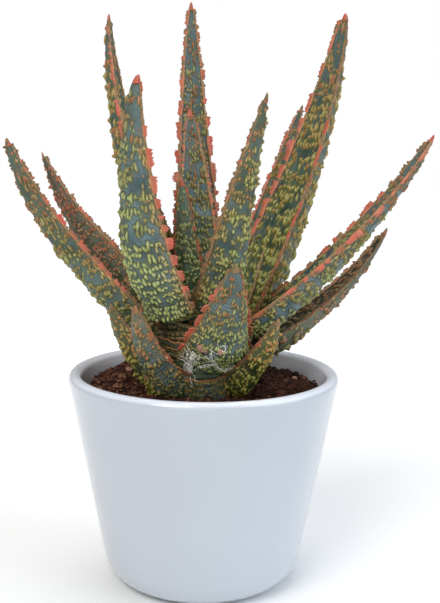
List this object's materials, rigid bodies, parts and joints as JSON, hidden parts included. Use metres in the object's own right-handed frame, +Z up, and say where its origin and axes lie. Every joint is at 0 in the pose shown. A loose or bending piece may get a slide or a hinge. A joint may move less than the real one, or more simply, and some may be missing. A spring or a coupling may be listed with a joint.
{
  "type": "potted aloe plant",
  "caption": "Spotted aloe with coral toothed leaf margins in a tapered white glazed ceramic pot filled with dark peat soil; stands on a flat surface as decoration.",
  "frame": {"origin": "centre of the pot's flat underside", "axes": "+Z up along the pot's axis and the plant's height, -Y to the front of the plant, +X to its right as seen from the front"},
  "size_m": [0.2077, 0.1332, 0.2912],
  "materials": {
    "white_glaze": "glossy white glaze",
    "peat_soil": "rough granular dark peat",
    "stem_bark": "dull fibrous",
    "leaf_blue_green": "satin, with raised lighter spots",
    "leaf_dark_green": "satin, with raised lighter spots",
    "leaf_olive": "satin, with raised lighter spots",
    "coral_margin": "satin, slightly translucent horn"
  },
  "bodies": {
    "root": {"pot": "white_glaze", "soil": "peat_soil", "stem": "stem_bark", "leaf_heart": "leaf_dark_green", "margin_heart": "coral_margin", "leaf_young": "leaf_dark_green", "margin_young": "coral_margin", "leaf_inner_back": "leaf_blue_green", "margin_inner_back": "coral_margin", "leaf_front_right": "leaf_blue_green", "margin_front_right": "coral_margin", "leaf_tall_left": "leaf_blue_green", "margin_tall_left": "coral_margin", "leaf_tall_back": "leaf_blue_green", "margin_tall_back": "coral_margin", "leaf_broad_left": "leaf_blue_green", "margin_broad_left": "coral_margin", "leaf_tall_right": "leaf_blue_green", "margin_tall_right": "coral_margin", "leaf_back_left": "leaf_dark_green", "margin_back_left": "coral_margin", "leaf_far_right": "leaf_blue_green", "margin_far_right": "coral_margin", "leaf_far_left": "leaf_blue_green", "margin_far_left": "coral_margin", "leaf_back_right": "leaf_dark_green", "margin_back_right": "coral_margin", "leaf_back_middle": "leaf_dark_green", "margin_back_middle": "coral_margin", "leaf_low_right": "leaf_dark_green", "margin_low_right": "coral_margin", "leaf_front": "leaf_blue_green", "margin_front": "coral_margin", "leaf_low_left_front": "leaf_olive", "margin_low_left_front": "coral_margin", "leaf_low_right_front": "leaf_olive", "margin_low_right_front": "coral_margin", "leaf_low_left": "leaf_olive", "margin_low_left": "coral_margin", "leaf_low_back_left": "leaf_olive", "margin_low_back_left": "coral_margin", "leaf_low_back_right": "leaf_olive", "margin_low_back_right": "coral_margin"}
  },
  "joints": []
}
